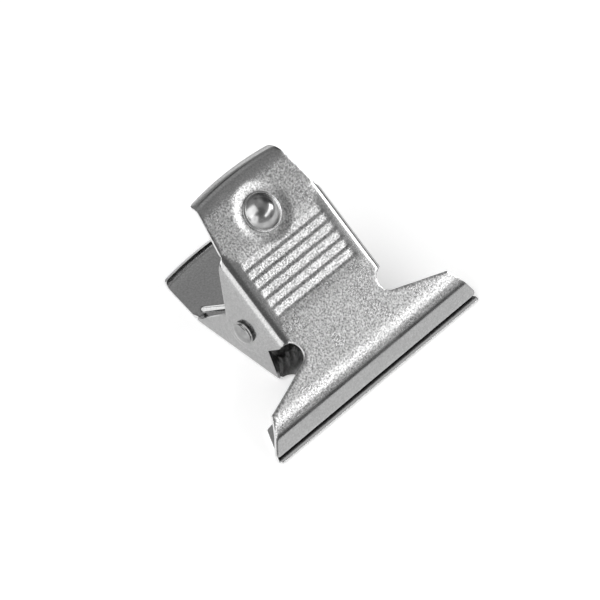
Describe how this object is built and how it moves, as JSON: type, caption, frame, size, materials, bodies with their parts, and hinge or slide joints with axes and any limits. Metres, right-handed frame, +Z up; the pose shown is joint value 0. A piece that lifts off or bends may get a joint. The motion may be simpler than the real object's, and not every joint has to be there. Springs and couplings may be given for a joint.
{
  "type": "bulldog clip",
  "caption": "Nickel-plated steel bulldog clip: grooved front half with a dome rivet, plain rear half, hinged on a headed pin and held shut by a coiled torsion spring, for gripping paper.",
  "frame": {"origin": "on the outer face of the rear plate, straight below the middle of the hinge pin, with the clip lying closed on its back", "axes": "+X along the hinge pin, +Y towards the handles, +Z up out of the rear plate"},
  "size_m": [0.0504, 0.0436, 0.0268],
  "materials": {
    "plate_steel": "satin nickel plate",
    "bright_nickel": "polished nickel plate",
    "spring_wire": "bright drawn spring wire"
  },
  "bodies": {
    "rear": {"rear_plate": "plate_steel", "torsion_spring": "spring_wire"},
    "front": {"front_plate": "plate_steel", "handle_rivet": "bright_nickel", "hinge_pin": "bright_nickel"}
  },
  "joints": [
    {"name": "jaw_hinge", "type": "hinge", "parent": "rear", "child": "front", "pos_m": [0, 0, 0.0081], "axis": [-1, 0, 0], "range_deg": [0, 60], "stiffness_Nm_per_rad": 0.17, "springref_deg": -89.95, "deforming": ["torsion_spring"]}
  ]
}
